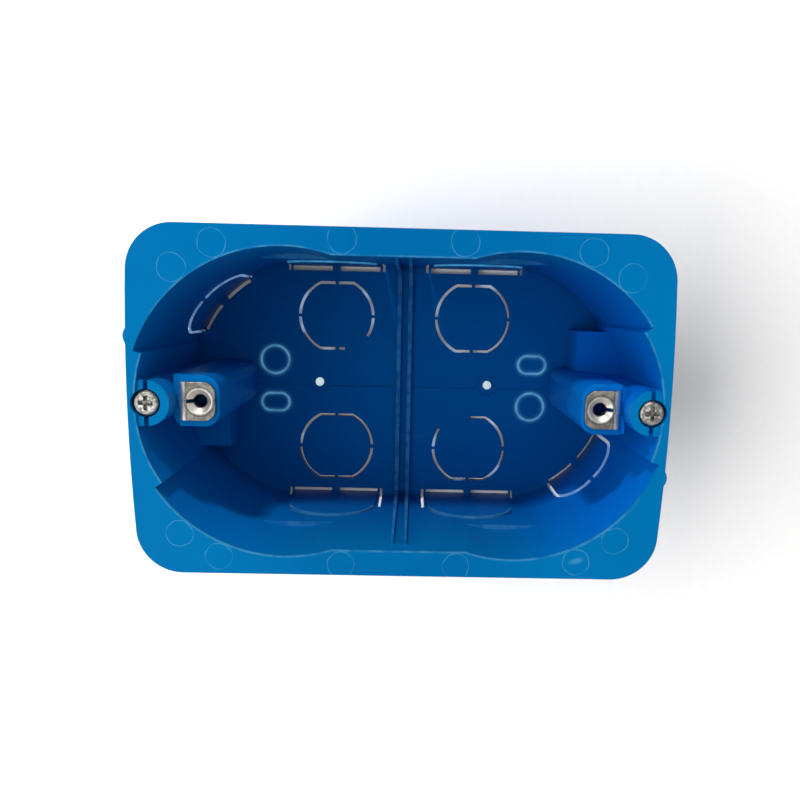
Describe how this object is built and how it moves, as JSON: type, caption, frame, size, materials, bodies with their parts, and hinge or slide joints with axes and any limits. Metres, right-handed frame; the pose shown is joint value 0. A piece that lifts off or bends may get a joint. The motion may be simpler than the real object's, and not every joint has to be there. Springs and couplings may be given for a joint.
{
  "type": "flush back box",
  "caption": "Long two-module flush box for hollow walls, with a rounded flange, slit knockouts, claw screws and folded fixing inserts.",
  "frame": {"origin": "centre of the box's footprint, on its outside back face", "axes": "+Z out of the mouth towards the room, +X along the long side, +Y across it"},
  "size_m": [0.1122, 0.071, 0.05],
  "materials": {
    "moulded_blue": "satin moulded, self-coloured blue",
    "zinc_sheet": "zinc plated pressed sheet",
    "plated_screw": "bright zinc plated",
    "zinc_claw": "zinc plated pressed sheet"
  },
  "bodies": {
    "box": {"back_box": "moulded_blue", "fixing_insert_right": "zinc_sheet", "fixing_insert_left": "zinc_sheet"},
    "screw_right": {"claw_screw_right": "plated_screw"},
    "screw_left": {"claw_screw_left": "plated_screw"},
    "claw_right": {"claw_right": "zinc_claw"},
    "claw_left": {"claw_left": "zinc_claw"}
  },
  "joints": [
    {"name": "screw_right_turn", "type": "hinge", "parent": "box", "child": "screw_right", "pos_m": [0.0515, 0, 0.03], "axis": [0, 0, 1], "range_deg": [-90, 0]},
    {"name": "screw_left_turn", "type": "hinge", "parent": "box", "child": "screw_left", "pos_m": [-0.0515, 0, 0.03], "axis": [0, 0, 1], "range_deg": [-90, 0]},
    {"name": "claw_right_draw", "type": "slide", "parent": "screw_right", "child": "claw_right", "axis": [0, 0, 1], "range_m": [0, 0.028]},
    {"name": "claw_left_draw", "type": "slide", "parent": "screw_left", "child": "claw_left", "axis": [0, 0, 1], "range_m": [0, 0.028]}
  ]
}
